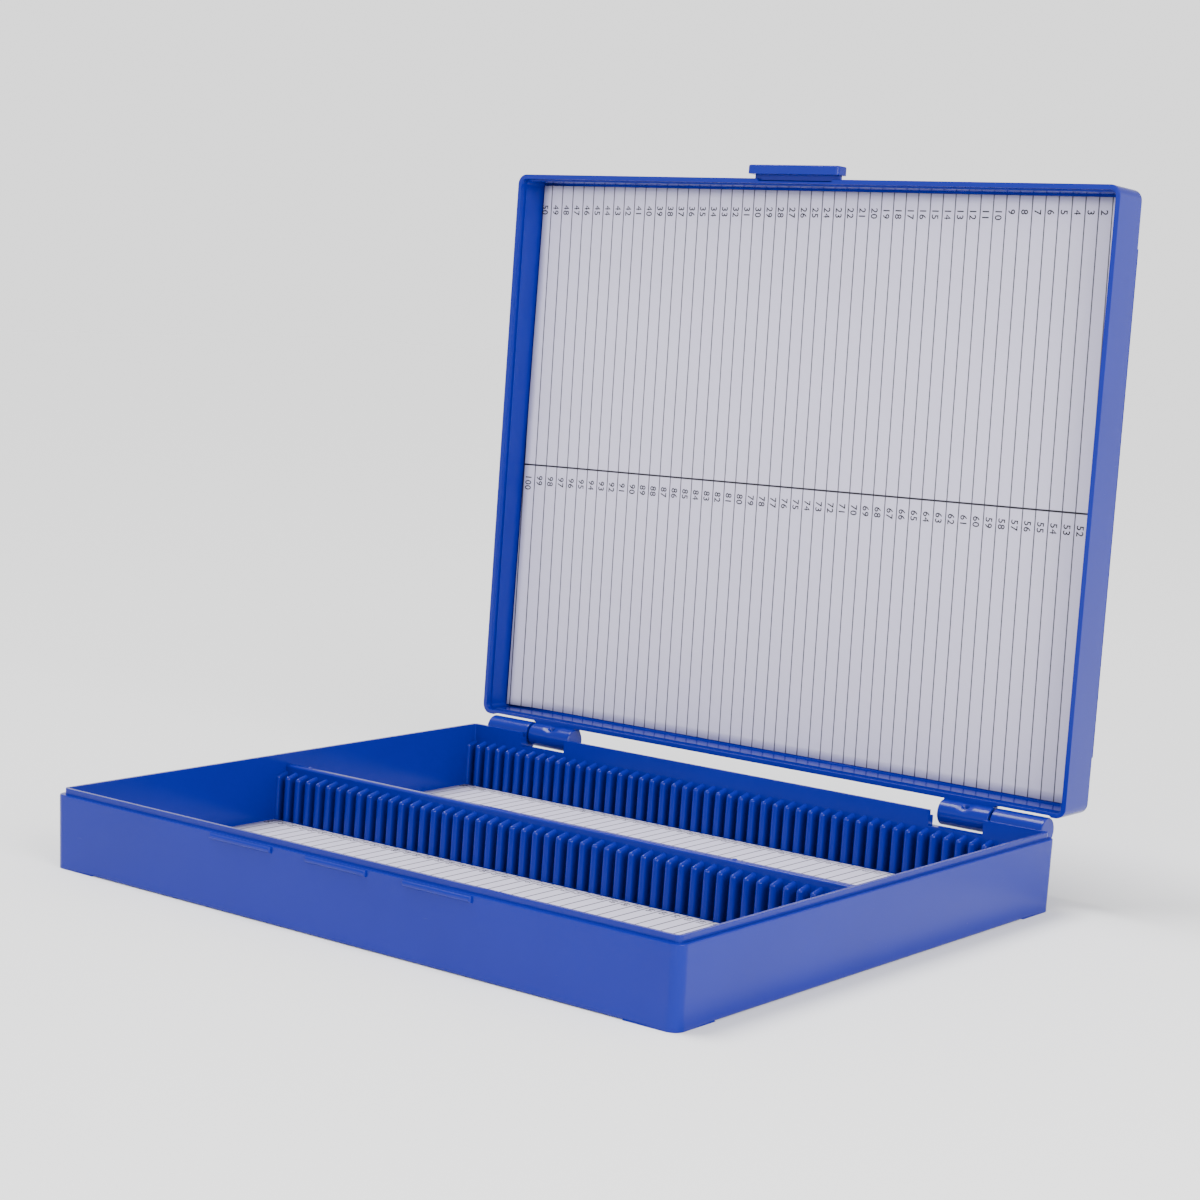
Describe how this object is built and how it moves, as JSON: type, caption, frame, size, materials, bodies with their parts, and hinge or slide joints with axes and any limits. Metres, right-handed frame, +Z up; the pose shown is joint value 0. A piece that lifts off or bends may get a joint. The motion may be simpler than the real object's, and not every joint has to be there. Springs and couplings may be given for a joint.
{
  "type": "microscope slide storage box",
  "caption": "Flat hinged slide box: shallow tray with two bays of ribbed slots and index strips, and a lid with latch tab and index card, standing open.",
  "frame": {"origin": "on the surface the box stands on, under the centre of the tray's outline (its rear hinge left out)", "axes": "+X along the hinge, to the right as seen from the latch side; +Y from the latch side to the hinge side; +Z up"},
  "size_m": [0.205, 0.1919, 0.1957],
  "materials": {
    "blue_plastic_tray": "satin-gloss injection-moulded blue plastic",
    "blue_plastic_lid": "satin-gloss injection-moulded blue plastic",
    "paper_strip": "matt uncoated index paper with thin grey lines",
    "paper_card": "matt uncoated index paper with thin grey lines",
    "pin_steel": "plain drawn stainless steel"
  },
  "bodies": {
    "base": {"base_tray": "blue_plastic_tray", "divider_wall": "blue_plastic_tray", "slot_rack_front_wall": "blue_plastic_tray", "slot_rack_divider_front": "blue_plastic_tray", "slot_rack_divider_rear": "blue_plastic_tray", "slot_rack_rear_wall": "blue_plastic_tray", "index_strip_front": "paper_strip", "index_strip_rear": "paper_strip", "hinge_pin_left": "pin_steel", "hinge_pin_right": "pin_steel"},
    "lid": {"lid_shell": "blue_plastic_lid", "lid_index_card": "paper_card"}
  },
  "joints": [
    {"name": "lid_hinge", "type": "hinge", "parent": "base", "child": "lid", "pos_m": [0, 0.0878, 0.0202], "axis": [-1, 0, 0], "range_deg": [-92, 0]}
  ]
}
